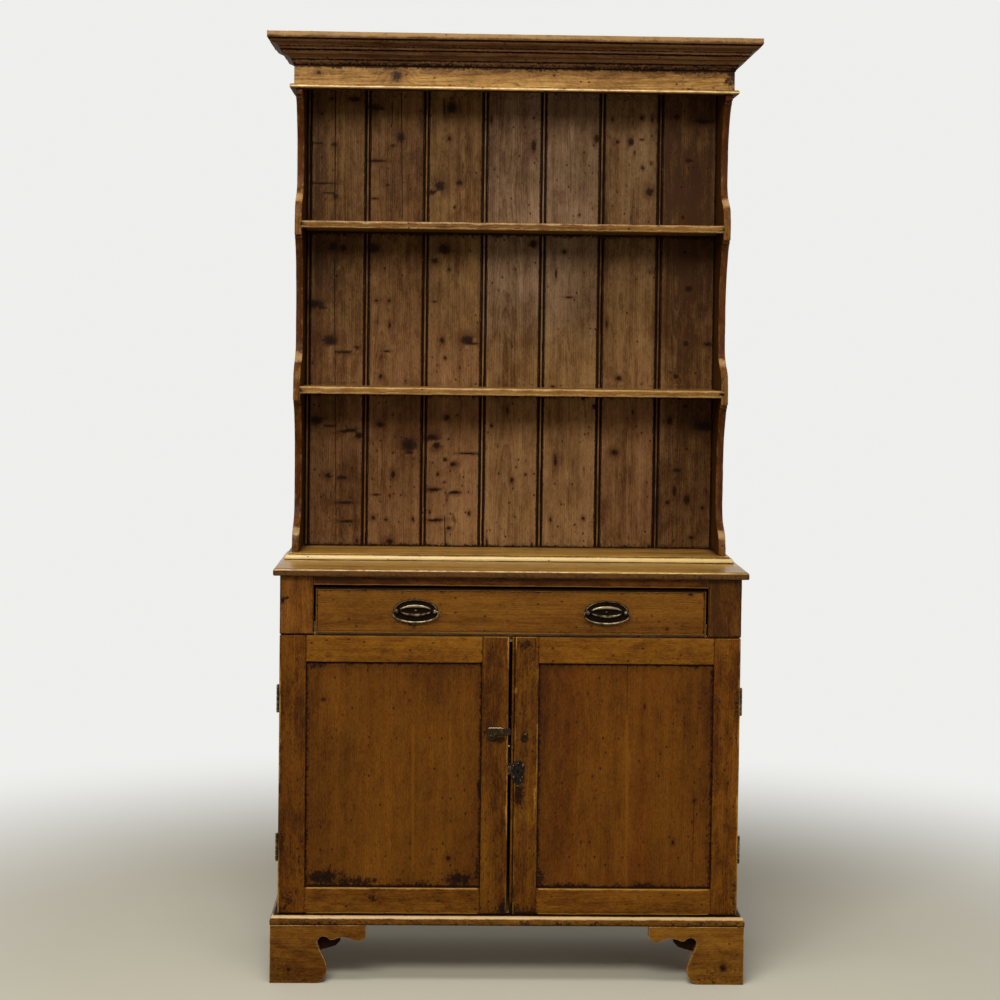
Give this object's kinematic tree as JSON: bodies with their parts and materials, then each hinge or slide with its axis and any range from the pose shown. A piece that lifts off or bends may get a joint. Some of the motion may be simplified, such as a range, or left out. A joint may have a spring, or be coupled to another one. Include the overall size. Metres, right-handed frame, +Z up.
{
  "type": "welsh dresser",
  "caption": "Pine dresser: an open shelved rack with shaped sides, boarded back and deep cornice, on a base with a drawer, framed doors and bracket feet.",
  "frame": {"origin": "centre of the footprint, on the floor", "axes": "+Z up, +X to the right seen from the front, +Y to the back, so the doors and the drawer face -Y"},
  "size_m": [1.088, 0.41, 2.053],
  "materials": {
    "rack_pine": "waxed, worn at the edges",
    "back_pine": "waxed, dark with age",
    "frieze_pine": "waxed, golden",
    "cornice_pine": "waxed, dark with age",
    "base_pine": "waxed",
    "top_pine": "waxed, worn",
    "plinth_pine": "waxed",
    "drawer_pine": "waxed",
    "frame_pine": "waxed",
    "panel_pine": "waxed",
    "inside_pine": "bare, aged",
    "brass": "aged, dull",
    "iron": "dark, aged"
  },
  "bodies": {
    "case": {"foot_front_left": "plinth_pine", "foot_front_right": "plinth_pine", "foot_rear_left": "plinth_pine", "foot_rear_right": "plinth_pine", "plinth_moulding": "plinth_pine", "base_bottom": "inside_pine", "base_side_left": "base_pine", "base_side_right": "base_pine", "base_back": "inside_pine", "inner_shelf": "inside_pine", "divider_frame": "inside_pine", "drawer_post_left": "base_pine", "drawer_post_right": "base_pine", "top_rail": "base_pine", "base_top": "top_pine", "left_hinge_lower_fixed": "brass", "left_hinge_upper_fixed": "brass", "right_hinge_lower_fixed": "brass", "right_hinge_upper_fixed": "brass", "rack_base_board": "top_pine", "rack_side_left": "rack_pine", "rack_side_right": "rack_pine", "rack_shelf_lower": "rack_pine", "rack_shelf_upper": "rack_pine", "rack_top_board": "inside_pine", "back_board_1": "back_pine", "back_board_2": "back_pine", "back_board_3": "back_pine", "back_board_4": "back_pine", "back_board_5": "back_pine", "back_board_6": "back_pine", "back_board_7": "back_pine", "frieze_board": "frieze_pine", "frieze_bead": "frieze_pine", "cornice_moulding": "cornice_pine"},
    "drawer": {"drawer_front": "drawer_pine", "drawer_side_left": "inside_pine", "drawer_side_right": "inside_pine", "drawer_back": "inside_pine", "drawer_bottom": "inside_pine", "handle_plate_left": "brass", "handle_plate_right": "brass"},
    "left_bail": {"handle_bail_left": "brass"},
    "right_bail": {"handle_bail_right": "brass"},
    "left_door": {"left_door_hinge_stile": "frame_pine", "left_door_lock_stile": "frame_pine", "left_door_top_rail": "frame_pine", "left_door_bottom_rail": "frame_pine", "left_door_panel": "panel_pine", "left_door_hinge_lower_leaf": "brass", "left_door_hinge_upper_leaf": "brass"},
    "latch": {"latch_bar": "brass"},
    "right_door": {"right_door_hinge_stile": "frame_pine", "right_door_lock_stile": "frame_pine", "right_door_top_rail": "frame_pine", "right_door_bottom_rail": "frame_pine", "right_door_panel": "panel_pine", "right_door_hinge_lower_leaf": "brass", "right_door_hinge_upper_leaf": "brass", "door_lock": "iron"}
  },
  "joints": [
    {"name": "drawer_slide", "type": "slide", "parent": "case", "child": "drawer", "axis": [0, -1, 0], "range_m": [0, 0.3]},
    {"name": "left_door_swing", "type": "hinge", "parent": "case", "child": "left_door", "pos_m": [-0.4988, -0.1665, 0.448], "axis": [0, 0, -1], "range_deg": [0, 170]},
    {"name": "right_door_swing", "type": "hinge", "parent": "case", "child": "right_door", "pos_m": [0.4988, -0.1665, 0.448], "axis": [0, 0, 1], "range_deg": [0, 170]},
    {"name": "left_bail_lift", "type": "hinge", "parent": "drawer", "child": "left_bail", "pos_m": [-0.205, -0.1963, 0.8025], "axis": [-1, 0, 0], "range_deg": [0, 150]},
    {"name": "right_bail_lift", "type": "hinge", "parent": "drawer", "child": "right_bail", "pos_m": [0.205, -0.1963, 0.8025], "axis": [-1, 0, 0], "range_deg": [0, 150]},
    {"name": "latch_turn", "type": "hinge", "parent": "left_door", "child": "latch", "pos_m": [-0.0395, -0.188, 0.533], "axis": [0, -1, 0], "range_deg": [-24, 180]}
  ]
}
